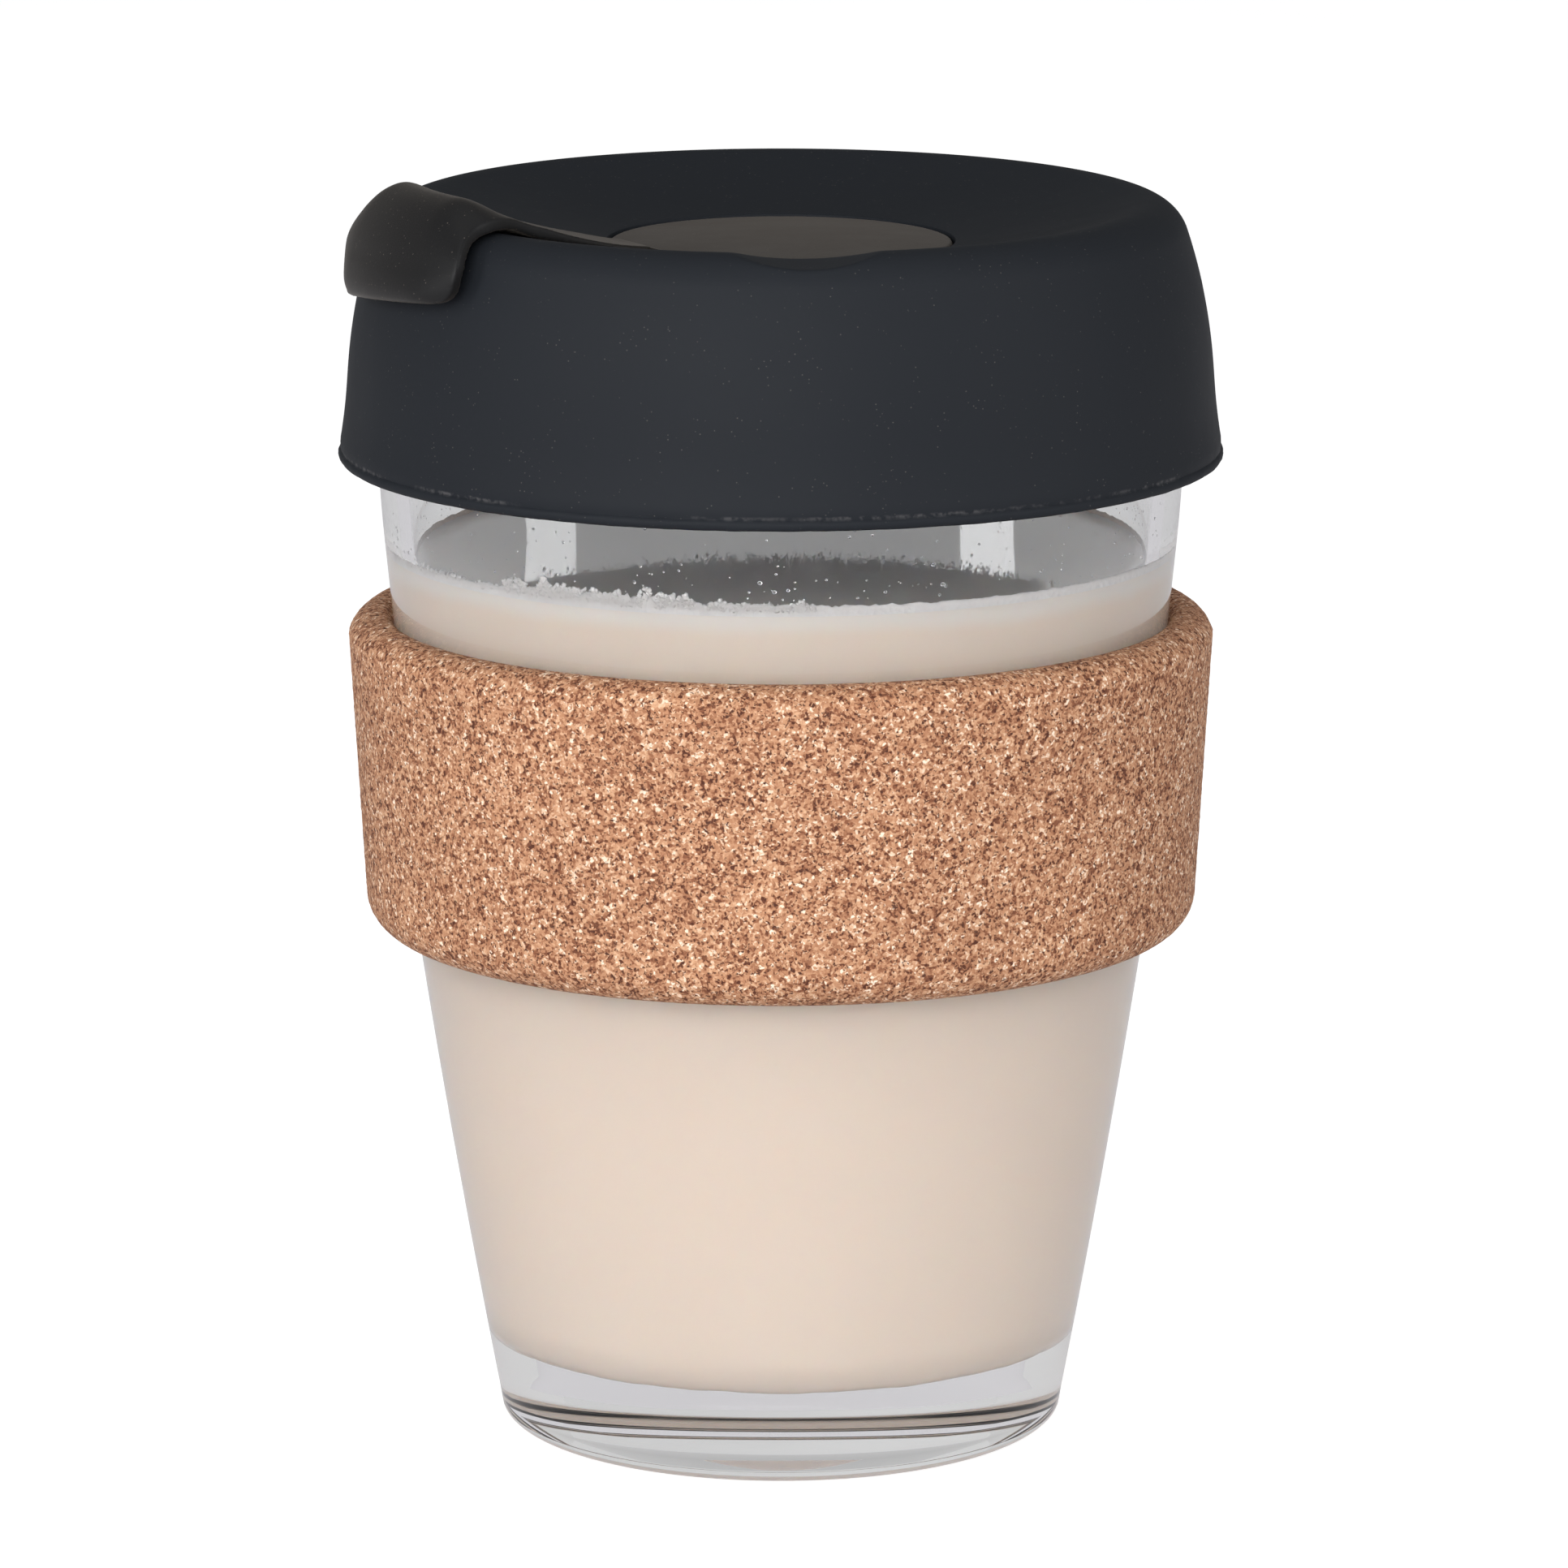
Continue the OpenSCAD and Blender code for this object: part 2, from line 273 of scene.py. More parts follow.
class Tree:
    """Writes a node tree. Each call makes a node and returns one of its outputs."""

    def __init__(self, owner, coordinates="Object"):
        owner.use_nodes = True
        self.owner, self.nodes, self.links = owner, owner.node_tree.nodes, owner.node_tree.links
        self.nodes.clear()
        self.place = self.add("ShaderNodeTexCoord", out=coordinates)

    def put(self, socket, v):
        if isinstance(v, bpy.types.NodeSocket):
            self.links.new(v, socket)
        elif socket.type == "RGBA" and isinstance(v, tuple) and len(v) == 3:
            socket.default_value = (*v, 1)
        else:
            socket.default_value = v

    def add(self, kind, inputs=None, out=0, **props):
        n = self.nodes.new(kind)
        for k, v in props.items():
            setattr(n, k, v)
        for k, v in (inputs or {}).items():
            self.put(n.inputs[k], v)
        return n.outputs[out]

    def math(self, op, a, b=0.0, c=0.0, clamp=False):
        return self.add("ShaderNodeMath", {0: a, 1: b, 2: c}, operation=op, use_clamp=clamp)

    def noise(self, scale, detail=2.0, rough=0.5, where=None, out=0):
        ins = {"Vector": where or self.place, "Scale": scale, "Detail": detail, "Roughness": rough}
        return self.add("ShaderNodeTexNoise", ins, out)

    def cells(self, scale, out="Color", where=None, feature="F1"):
        ins = {"Vector": where or self.place, "Scale": scale}
        return self.add("ShaderNodeTexVoronoi", ins, out, feature=feature)

    def channel(self, colour, i):
        return self.add("ShaderNodeSeparateColor", {0: colour}, i)

    def axis(self, i):
        return self.add("ShaderNodeSeparateXYZ", {0: self.place}, i)

    def step(self, value, lo, hi, a=0.0, b=1.0, kind="LINEAR"):
        ins = {"Value": value, "From Min": lo, "From Max": hi, "To Min": a, "To Max": b}
        return self.add("ShaderNodeMapRange", ins, interpolation_type=kind)

    def ramp(self, value, stops):
        n = self.nodes.new("ShaderNodeValToRGB")
        e = n.color_ramp.elements
        while len(e) < len(stops):
            e.new(0.5)
        for item, (p, c) in zip(e, stops):
            item.position, item.color = p, (*c, 1)
        self.links.new(value, n.inputs[0])
        return n.outputs[0]

    def mix(self, fac, a, b, blend="MIX"):
        n = self.nodes.new("ShaderNodeMix")
        n.data_type, n.blend_type = "RGBA", blend
        for i, v in ((0, fac), (6, a), (7, b)):
            self.put(n.inputs[i], v)
        return n.outputs[2]

    def bump(self, height, distance, strength=1.0):
        """distance is in mm."""
        ins = {"Height": height, "Distance": distance * MM, "Strength": strength}
        return self.add("ShaderNodeBump", ins)

    def principled(self, **ins):
        ins = {k.replace("_", " "): v for k, v in ins.items()}
        shader = self.add("ShaderNodeBsdfPrincipled", ins)
        self.put(self.nodes.new("ShaderNodeOutputMaterial").inputs[0], shader)
        return self.owner


def new_material(name):
    return Tree(bpy.data.materials.new(name))


# ------------------------------------------------------------ materials


def make_glass():
    t = new_material("clear_glass")
    return t.principled(
        Base_Color=(0.975, 0.98, 0.985),
        Roughness=0.0,
        IOR=1.5,
        Transmission_Weight=1.0,
        Normal=t.bump(t.noise(70, 2, 0.5), 0.03, 0.3),
    )


def make_water():
    t = new_material("water_beads")
    return t.principled(
        Base_Color=(0.97, 0.97, 0.98),
        Roughness=t.step(t.noise(900, 1), 0.3, 0.7, 0.0, 0.08),
        IOR=1.33,
        Transmission_Weight=1.0,
    )


def make_lid():
    t = new_material("lid_black")
    tone = t.noise(45, 4, 0.6)
    fine = t.noise(2600, 2, 0.6)
    colour = t.mix(tone, (0.0115, 0.0136, 0.0173), (0.0142, 0.0161, 0.0197))
    speck = t.step(t.cells(1700, "Distance"), 0.15, 0.06)
    rare = t.step(t.noise(420, 1), 0.48, 0.60)
    colour = t.mix(t.math("MULTIPLY", speck, rare, clamp=True), colour, (0.060, 0.058, 0.056))
    # Painted highlight: a pale broken line, 99.75 to 100.3 mm up, along the real mould flash above the lip,
    # stands in for the light that this small ridge catches.
    flash = t.step(t.axis(2), 99.75 * MM, 100.05 * MM)
    flash = t.math("MULTIPLY", flash, t.step(t.axis(2), 100.30 * MM, 100.10 * MM))
    flash = t.math("MULTIPLY", flash, t.step(t.noise(900, 2, 0.7), 0.45, 0.62))
    flash = t.math("MULTIPLY", flash, t.step(t.noise(60, 1), 0.42, 0.56), clamp=True)
    colour = t.mix(flash, colour, (0.062, 0.061, 0.064))
    return t.principled(
        Base_Color=colour,
        Roughness=t.step(tone, 0.3, 0.7, 0.56, 0.66),
        IOR=1.45,
        Specular_IOR_Level=0.12,
        Normal=t.bump(fine, 0.012, 0.5),
    )


def make_plug():
    t = new_material("plug_charcoal")
    tone = t.noise(70, 4, 0.6)
    fine = t.noise(3200, 3, 0.65)
    # Painted sheen: the disc and the start of the arm get a lighter, warmer colour than the tab, which
    # fades out between 17 and 30 mm from the middle. It stands in for the warm sheen of the dusty disc seen
    # at a grazing angle, though disc and tab are the same rubber.
    far = t.math("POWER", t.axis(0), 2.0)
    far = t.math("SQRT", t.math("MULTIPLY_ADD", t.axis(1), t.axis(1), far))
    tab = t.mix(tone, (0.0040, 0.0042, 0.0048), (0.0060, 0.0062, 0.0070))
    disc = t.mix(tone, (0.0060, 0.0045, 0.0034), (0.0085, 0.0066, 0.0050))
    colour = t.mix(t.step(far, 17.0 * MM, 30.0 * MM), disc, tab)
    speck = t.step(t.cells(2100, "Distance"), 0.18, 0.08)
    rare = t.step(t.noise(1400, 1), 0.50, 0.60)
    colour = t.mix(t.math("MULTIPLY", speck, rare, clamp=True), colour, (0.070, 0.060, 0.052))
    return t.principled(
        Base_Color=colour,
        Roughness=t.step(tone, 0.3, 0.7, 0.46, 0.56),
        IOR=1.46,
        Specular_IOR_Level=0.27,
        Sheen_Weight=0.06,
        Sheen_Roughness=0.45,
        Sheen_Tint=(1.0, 0.88, 0.76),
        Normal=t.bump(fine, 0.015, 0.5),
    )


def make_cork():
    t = new_material("cork")
    wander = t.noise(900, 2, 0.5, out=1)
    push = t.add("ShaderNodeVectorMath", {0: wander, "Scale": 0.0005}, operation="SCALE")
    bent = t.add("ShaderNodeVectorMath", {0: push, 1: t.place}, operation="ADD")
    grain = t.channel(t.cells(1900, "Color", bent), 0)
    flake = t.channel(t.cells(3900, "Color", bent), 1)
    both = t.math("MULTIPLY_ADD", flake, 0.55, t.math("MULTIPLY", grain, 0.45))
    colour = t.ramp(
        both,
        [
            (0.10, (0.085, 0.026, 0.014)),
            (0.26, (0.225, 0.085, 0.042)),
            (0.42, (0.405, 0.195, 0.104)),
            (0.62, (0.510, 0.272, 0.152)),
            (0.78, (0.630, 0.385, 0.235)),
            (0.93, (0.880, 0.720, 0.570)),
        ],
    )
    edge = t.cells(1900, "Distance", bent, "DISTANCE_TO_EDGE")
    colour = t.mix(t.step(edge, 0.0, 0.05, 0.35, 0.0), colour, (0.26, 0.110, 0.065))
    pits = t.step(t.noise(3000, 2, 0.6), 0.59, 0.66)
    colour = t.mix(pits, colour, (0.085, 0.032, 0.020))
    cloud = t.ramp(t.noise(75, 3, 0.55), [(0.3, (0.80, 0.76, 0.74)), (0.7, (1.0, 0.98, 0.96))])
    colour = t.mix(0.5, colour, cloud, "MULTIPLY")
    rough = t.math("MULTIPLY_ADD", t.noise(1800, 3), 0.8, t.math("MULTIPLY", flake, 0.6))
    return t.principled(
        Base_Color=colour,
        Roughness=0.82,
        Specular_IOR_Level=0.25,
        Normal=t.bump(t.math("SUBTRACT", rough, pits), 0.05, 0.8),
    )


def make_drink():
    t = new_material("milky_coffee")
    uneven = t.math("MULTIPLY_ADD", t.noise(55, 3, 0.6), 1.6 * MM, t.axis(2))
    pale = t.step(uneven, MILK_Z * MM, (MILK_Z + 1.9) * MM, kind="SMOOTHSTEP")
    body = t.mix(t.noise(80, 2), (0.93, 0.795, 0.680), (0.95, 0.815, 0.700))
    return t.principled(
        Base_Color=t.mix(pale, body, (0.94, 0.87, 0.80)),
        Roughness=0.03,
        IOR=1.33,
        Subsurface_Weight=0.3,
        Subsurface_Radius=(1.0, 0.7, 0.45),
        Subsurface_Scale=2.0 * MM,
    )


def make_foam():
    """Pale froth in front, coffee-stained behind, with dark and pale spatter high on the far wall."""
    t = new_material("milk_foam")
    froth = t.mix(t.noise(800, 3), (0.86, 0.82, 0.79), (0.95, 0.93, 0.91))
    stain = t.mix(t.noise(120, 3), (0.66, 0.47, 0.34), (0.80, 0.63, 0.49))
    tones = [(0.45, (0.012, 0.010, 0.010)), (0.62, (0.60, 0.57, 0.55)), (0.8, (1.0, 1.0, 1.0))]
    dotted = t.ramp(t.channel(t.cells(1500), 0), tones)
    colour = t.mix(t.step(t.axis(1), -8 * MM, 10 * MM), froth, stain)
    return t.principled(
        Base_Color=t.mix(t.step(t.axis(2), 94 * MM, 94.5 * MM), colour, dotted),
        Roughness=0.5,
        Subsurface_Weight=0.3,
        Subsurface_Radius=(1.0, 0.9, 0.8),
        Subsurface_Scale=0.8 * MM,
        Normal=t.bump(t.cells(1500, "Distance"), 0.12, 0.7),
    )


def make_floor():
    """A pale sheet lit from beneath, white to the eye and pale grey to glass and reflections."""
    t = new_material("pale_floor")
    seen = t.add("ShaderNodeLightPath", out="Is Camera Ray")
    glow = t.mix(t.noise(14, 3), (0.97, 0.97, 0.97), (1.0, 1.0, 1.0))
    return t.principled(
        Base_Color=t.mix(seen, (0.10, 0.10, 0.10), (0.45, 0.45, 0.45)),
        Roughness=0.75,
        Specular_IOR_Level=0.1,
        Emission_Color=t.mix(seen, (0.985, 0.965, 1.0), glow),
        Emission_Strength=t.step(seen, 0.0, 1.0, 0.56, 0.80),
    )


def make_card():
    """Grey as the room, and seen by glass only. It keeps the strip lights out of the cup's base."""
    t = new_material("grey_card")
    grey = t.mix(t.noise(14, 3), (0.56, 0.56, 0.56), (0.58, 0.58, 0.58))
    return t.principled(Base_Color=(0.0, 0.0, 0.0), Emission_Color=grey, Emission_Strength=1.0)


# ------------------------------------------------------------ glass, drink, froth


def floor_wave(r, a):
    """The slight unevenness of the pressed glass's floor, in mm."""
    p = Vector((math.cos(a) * r * 0.16, math.sin(a) * r * 0.16, 2.0))
    return 0.16 * noise.noise(p) + 0.05 * noise.noise(p * 3.0)


def inside_shift(r, z, a):
    w = max(0.0, 1.0 - max(0.0, z - FLOOR_Z) / CORNER_R)
    return r, z + w * floor_wave(r, a)


def glass_shift(r, z, a):
    if FLOOR_Z - 0.5 < z < corner_z and r < corner_c[0] + CORNER_R:
        return inside_shift(r, z, a)
    return r, z


def build_glass():
    sphere = (KICK_R**2 + KICK_D**2) / (2 * KICK_D)
    out = [(r, KICK_D - sphere + math.sqrt(sphere**2 - r * r)) for r in np.linspace(0, KICK_R, 21)]
    out += OUTER
    rim_c = (COLLAR_LOW[0] - WALL_T / 2, GLASS_H - WALL_T / 2)
    out += arc(rim_c, WALL_T / 2, 0, 180, 17)[1:-1]
    out += INNER[::-1]
    out += [(x, FLOOR_Z) for x in np.linspace(corner_c[0], 0, 20)[1:]]
    return revolve("glass_wall", out, 360, glass_shift, 50)


def build_drink():
    """The drink reaches a hair into the glass, so that no air shows between them."""
    soak, climb = 0.04, 0.8
    out = [(x, FLOOR_Z - soak) for x in np.linspace(0, corner_c[0], 20)[:-1]]
    for (r0, z0), (r1, z1) in zip(INNER, INNER[1:]):
        if z0 >= DRINK_Z - 0.5:
            break
        d = math.hypot(r1 - r0, z1 - z0)
        out.append((r0 + soak * (z1 - z0) / d, z0 - soak * (r1 - r0) / d))
    edge = radius_at(INNER, DRINK_Z) + soak
    out += [(edge, DRINK_Z - 0.2), (edge, DRINK_Z + climb)]
    for d in (0.12, 0.3, 0.55, 0.9, 1.4, 2.0, 2.8):
        out.append((edge - d, DRINK_Z + climb * math.exp(-d / 0.7)))
    out += [(x, DRINK_Z) for x in (32, 28, 24, 20, 16, 12, 8, 4, 0)]
    return revolve("drink", out, 360, inside_shift, 60)


def icosphere(level):
    bm = bmesh.new()
    bmesh.ops.create_icosphere(bm, subdivisions=level, radius=1.0)
    out = [v.co.copy() for v in bm.verts], [[v.index for v in f.verts] for f in bm.faces]
    bm.free()
    return out


def front_left(a, power):
    """1 where the froth clings thickest, falling to 0 round the cup."""
    return max(0.0, math.cos(a - math.radians(253))) ** power


def froth_strip():
    """The uneven line of froth at the drink's edge, as vertices and faces."""
    seg, rows, sunk = 720, 7, 0.6
    skin, front = [], []
    for j in range(rows):
        s = j / (rows - 1)
        for i in range(seg):
            a = TURN * i / seg
            c, sn = math.cos(a), math.sin(a)
            ragged = noise.fractal(Vector((c * 30, sn * 30, 0.0)), 0.7, 2.1, 4)
            top = 0.95 + 0.12 * ragged + front_left(a, 10) * max(0.0, 0.35 + 0.9 * ragged)
            z = DRINK_Z - sunk + s * (sunk + top)
            wall = radius_at(INNER, z) + 0.035
            thick = 0.10 + 0.30 * math.sin(math.pi * min(1.0, s * 1.05)) ** 0.7
            skin.append((wall * MM * c, wall * MM * sn, z * MM))
            front.append(((wall - thick) * MM * c, (wall - thick) * MM * sn, z * MM))
    n, faces = seg * rows, []
    for i in range(seg):
        k = (i + 1) % seg
        for j in range(rows - 1):
            a, b, c, d = j * seg + i, j * seg + k, (j + 1) * seg + k, (j + 1) * seg + i
            faces += [[a, b, c, d], [n + d, n + c, n + b, n + a]]
        t = (rows - 1) * seg
        faces += [[k, i, n + i, n + k], [t + i, t + k, n + t + k, n + t + i]]
    return skin + front, faces


def build_foam():
    """Milk froth on the inner wall: the line, crumbs heaped on it, and spatter on the far wall."""
    rng = np.random.default_rng(11)
    verts, faces = froth_strip()
    crumb, dot = icosphere(2), icosphere(1)
    for kind in rng.choice(len(CLUMPS), CRUMBS, p=CLUMP_SHARES):
        lo, hi, tall = CLUMPS[kind]
        turn = rng.uniform(lo, hi)
        if kind == SPATTER:
            turn = float(np.clip(rng.normal(SPATTER_AZ, SPATTER_SPREAD), lo, hi))
        a = math.radians(turn)
        crest = tall * (1.0 + 1.3 * noise.noise(Vector((turn * 0.35, 3.0, 0.0))))
        lift = min(abs(rng.normal(0, 1)), 2.4) * max(0.06, crest)
        size = float(np.clip(rng.lognormal(-1.6, 0.35), 0.09, 0.36))
        z = DRINK_Z + 0.72 + lift
        ball, ball_faces = crumb
        if kind == SPATTER:
            size, z = size * SPATTER_SIZE, rng.normal(SPATTER_Z, SPATTER_RISE)
            ball, ball_faces = dot
        seed = Vector(rng.uniform(-50, 50, 3))
        out = Vector((math.cos(a), math.sin(a), 0))
        side = Vector((-math.sin(a), math.cos(a), 0))
        middle = out * (radius_at(INNER, z) - 0.10) + Vector((0, 0, z))
        base = len(verts)
        for v in ball:
            lump = size * (1.0 + 0.9 * noise.noise(v * 1.9 + seed))
            p = middle + (side * v.x + Vector((0, 0, v.y))) * lump + out * (v.z * lump * 0.45)
            verts.append(p * MM)
        faces += [[base + i for i in f] for f in ball_faces]
    return new_object("foam_line", verts, faces, 0)


def build_beads():
    """Condensation on the inner wall over the drink: small flat drops, most of them on the far wall."""
    rng = np.random.default_rng(7)
    verts, faces = [], []
    sides = 7
    for i in range(DROPS):
        if i < FAR_DROPS:
            a, z, middling = math.radians(rng.normal(*FAR_DROP_AZ)), rng.normal(*FAR_DROP_Z), FAR_DROP_SIZE
        else:
            a, z, middling = rng.uniform(0, TURN), DRINK_Z + 1.4 + rng.exponential(2.5), NEAR_DROP_SIZE
        size = float(np.clip(rng.lognormal(middling, 0.4), 0.045, 0.26))
        if not DRINK_Z + 1.0 < z < 103:
            continue
        out = Vector((math.cos(a), math.sin(a), 0))
        side = Vector((-math.sin(a), math.cos(a), 0))
        centre = out * radius_at(INNER, z) + Vector((0, 0, z))
        base = len(verts)
        for depth, width in ((0.03, 1.0), (-0.32 * size, 0.82), (-0.55 * size, 0.42)):
            for k in range(sides):
                b = TURN * k / sides
                p = centre + out * depth + side * (size * width * math.cos(b))
                p.z += size * width * math.sin(b)
                verts.append(p * MM)
        verts.append((centre - out * 0.62 * size) * MM)
        for k in range(sides):
            m = (k + 1) % sides
            for ring in range(2):
                lo, hi = base + ring * sides, base + (ring + 1) * sides
                faces.append([lo + k, lo + m, hi + m, hi + k])
            faces.append([base + 2 * sides + k, base + 2 * sides + m, base + 3 * sides])
        faces.append([base + k for k in reversed(range(sides))])
    return new_object("condensation", verts, faces, 60)


# ------------------------------------------------------------ cork band


def build_band():
    low = straight(SEAT_LOW, SEAT_HIGH, BAND_Z) + BAND_FIT
    high = straight(SEAT_LOW, SEAT_HIGH, BAND_Z + BAND_H) + BAND_FIT
    top = BAND_Z + BAND_H
    out = arc((low + BAND_T + 0.25 - 3.8, BAND_Z + 3.8), 3.8, -90, -6, 14)
    out += arc((high + BAND_T - 3, top - 3), 3, 17, 90, 12)
    out += arc((high + 1.2, top - 1.2), 1.2, 90, 180, 7)
    shown = split(out, 0.4, False)
    hidden = split([shown[-1], (low, BAND_Z + 0.3), (low + 0.3, BAND_Z), shown[0]], 1.6, False)[1:-1]
    still = set(hidden)

    def shift(r, z, a):
        if (r, z) in still:
            return r, z
        p = Vector((r * math.cos(a), r * math.sin(a), z))
        return r + 0.055 * noise.noise(p * 1.6) + 0.035 * noise.noise(p * 3.3), z

    return revolve("cork_ring", shown + hidden, 720, shift, 0)


# ------------------------------------------------------------ lid


def lid_outline():
    shoulder = polar(crest_c, CREST_ROUND, SHOULDER_LEAN)
    lean = math.degrees(math.asin(CREST_R / (BOWL_R + CREST_ROUND)))
    out = arc((LIP_R - BEAD_R, LIP_Z + BEAD_R), BEAD_R, -90, 55, 14)
    out += [(LIP_R - 0.26, LIP_Z + 1.22), (LIP_R - 0.21, LIP_Z + 1.42)]
    out += bow((LIP_R - 0.15, LIP_Z + 1.6), WAIST, 0.12, 14)[1:]
    out += bow(WAIST, shoulder, -0.5, 26)[1:]
    out += arc(crest_c, CREST_ROUND, SHOULDER_LEAN, 90 + lean, 26)[1:]
    bowl_edge = CREST_R * BOWL_R / (BOWL_R + CREST_ROUND)
    for r in np.linspace(bowl_edge, POCKET_R + 0.15, 34)[1:]:
        out.append((r, BOWL_C - math.sqrt(BOWL_R**2 - r * r)))
    top = out[-1][1]
    out += [(POCKET_R + 0.03, top - 0.05), (POCKET_R, top - 0.2), (POCKET_R, POCKET_Z)]
    out += [(BORE_R, POCKET_Z), (BORE_R, POCKET_Z - LID_T)]
    out += [(POCKET_R + LID_T, POCKET_Z - LID_T)]
    for r in np.linspace(POCKET_R + LID_T + 0.1, CREST_R - 1.2, 14):
        out.append((r, BOWL_C - math.sqrt((BOWL_R + LID_T) ** 2 - r * r)))
    out += arc(crest_c, CREST_ROUND - LID_T - 0.2, 80, SHOULDER_LEAN, 8)
    out += [(40.55, 109.3), (35.35, 109.3)]
    out += [(35.35, 101.4), (35.7, 101.0), (36.5, 101.0), (36.95, 101.5)]
    out += [(36.95, 107.32), (40.35, 107.32), (40.35, 103.5)]
    out += [(41.9, LIP_Z + 0.35), (42.2, LIP_Z)]
    return relax(split(out, 1.2), 12, LIP_Z + 3, 116)


def lid_shift(r, z, a):
    """The dip in the front of the rim, and the slightly uneven flash along the lip."""
    turn = a - math.radians(NOTCH_AZ)
    if math.cos(turn) > 0.9 and r > 30 and z > 120:
        across = min(abs(r * math.sin(turn)), 20.0)
        big = (NOTCH_W**2 / 4 + NOTCH_D**2) / (2 * NOTCH_D)
        dip = CREST_Z - NOTCH_D + big - math.sqrt(max(0.0, big * big - across * across))
        soft = 0.25
        h = max(soft - abs(z - dip), 0.0) / soft
        z = min(z, dip) - h * h * soft / 4
    if z < LIP_Z + 1.5 and r > LIP_R - 1.2:
        p = Vector((math.cos(a) * 40, math.sin(a) * 40, z * 1.5))
        r += 0.05 * noise.noise(p) + 0.03 * noise.noise(p * 3.1)
        z += 0.04 * noise.noise(p * 0.6 + Vector((5, 5, 5)))
    return r, z


def build_lid():
    lid = revolve("lid_shell", lid_outline(), 400, lid_shift, 32)
    hole = revolve("hole", [(0, 112), (SIP_R, 112), (SIP_R, 128), (0, 128)], 64)
    hole.data.transform(Matrix.Translation(at_tab(SIP_AT)))
    carve(lid, hole)
    shade(lid, 32)
    return lid


# ------------------------------------------------------------ splash plug


def bowl_z(r):
    return BOWL_C - math.sqrt(BOWL_R**2 - r * r)


def arm_stations():
    """Along the tab and arm, from the hanging edge inwards: outer point, inner point, half-width."""
    gap = 0.35
    near = [
        ((43.50, 117.35), (43.3, 117.40), 8.5),
        ((44.35, 117.75), (42.55, 117.80), 10.6),
        ((44.62, 118.70), (42.4, 118.80), 11.8),
        ((44.35, 120.20), (42.4, 120.20), 12.3),
        ((43.90, 121.50), (42.3, 121.30), 12.35),
        ((43.35, 123.00), (41.9, 122.30), 12.1),
        ((42.60, 124.50), (41.2, 123.20), 11.5),
        ((41.60, 125.95), (40.3, 123.90), 10.8),
        ((40.25, 127.20), (39.2, 124.40), 10.2),
        ((38.50, 127.85), (37.9, 124.75), 9.8),
        ((36.70, 127.35), (36.3, 124.85), 9.2),
        ((34.60, 126.20), (34.3, 124.65), 8.3),
    ]
    far = [(31.5, 124.95, 7.3), (28.0, 123.75, 6.4), (24.0, 122.65, 5.5), (20.0, 121.80, 4.7)]
    near += [((r, z), (r, bowl_z(r) + gap), w) for r, z, w in far]
    return near + [((17.0, 121.3), (17.4, 120.75), 4.0)]


def spline(x, y, at):
    """Catmull-Rom through the points (x, y), for whole-number x."""
    y = np.concatenate([[2 * y[0] - y[1]], y, [2 * y[-1] - y[-2]]])
    k = np.minimum(at.astype(int), len(x) - 2)
    t = at - k
    p0, p1, p2, p3 = y[k], y[k + 1], y[k + 2], y[k + 3]
    return 0.5 * (
        2 * p1 + (p2 - p0) * t + (2 * p0 - 5 * p1 + 4 * p2 - p3) * t**2 + (3 * p1 - p0 - 3 * p2 + p3) * t**3
    )


def add_arm(bm):
    """The tab and arm as a curved slab whose outer face rolls over towards thin side edges."""
    rows = np.array([(*o, *i, w) for o, i, w in arm_stations()])
    knots = np.arange(len(rows))
    full = np.interp(knots, (3, 5, 7, 8, 9, 11), (1.0, 1.03, 1.13, 1.13, 1.08, 1.0))
    fine = np.linspace(0, knots[-1], 110)
    smooth = np.array([spline(knots, rows[:, c], fine) for c in range(5)]).T
    full = spline(knots, full, fine)
    across = np.sin(np.linspace(-math.pi / 2, math.pi / 2, 61))
    edge_t, roll_from, roll_over, widen, tilt = 1.15, 0.55, 0.45, 1.03, 0.8
    outer, inner = [], []
    for (ro, zo, ri, zi, w), more in zip(smooth, full):
        t = math.hypot(ro - ri, zo - zi)
        keep = min(1.0, edge_t / t)
        skew = math.radians(TAB_SKEW) * min(1.0, max(0.0, (ro - 18) / 18))
        top, low = [], []
        for u in across:
            roll = max(0.0, (abs(u) - roll_from) / roll_over) ** 2
            f = 1.0 - (1.0 - keep) * roll
            wide = w * widen * (more if u < 0 else 1.0)
            turn = math.radians(TAB_AZ) - skew + wide * u / max(ro, ri)
            lift = tilt * u * max(0.0, 122 - zo) / 4.6
            for line, r, z in ((top, ri + (ro - ri) * f, zi + (zo - zi) * f), (low, ri, zi)):
                z += lift
                line.append(bm.verts.new((r * MM * math.cos(turn), r * MM * math.sin(turn), z * MM)))
        outer.append(top)
        inner.append(low)
    n, m = len(outer), len(across)
    for i in range(n - 1):
        for j in range(m - 1):
            for g in (outer, inner):
                bm.faces.new([g[i][j], g[i + 1][j], g[i + 1][j + 1], g[i][j + 1]])
        for j in (0, m - 1):
            bm.faces.new([outer[i][j], outer[i + 1][j], inner[i + 1][j], inner[i][j]])
    for i in (0, n - 1):
        for j in range(m - 1):
            bm.faces.new([outer[i][j], outer[i][j + 1], inner[i][j + 1], inner[i][j]])


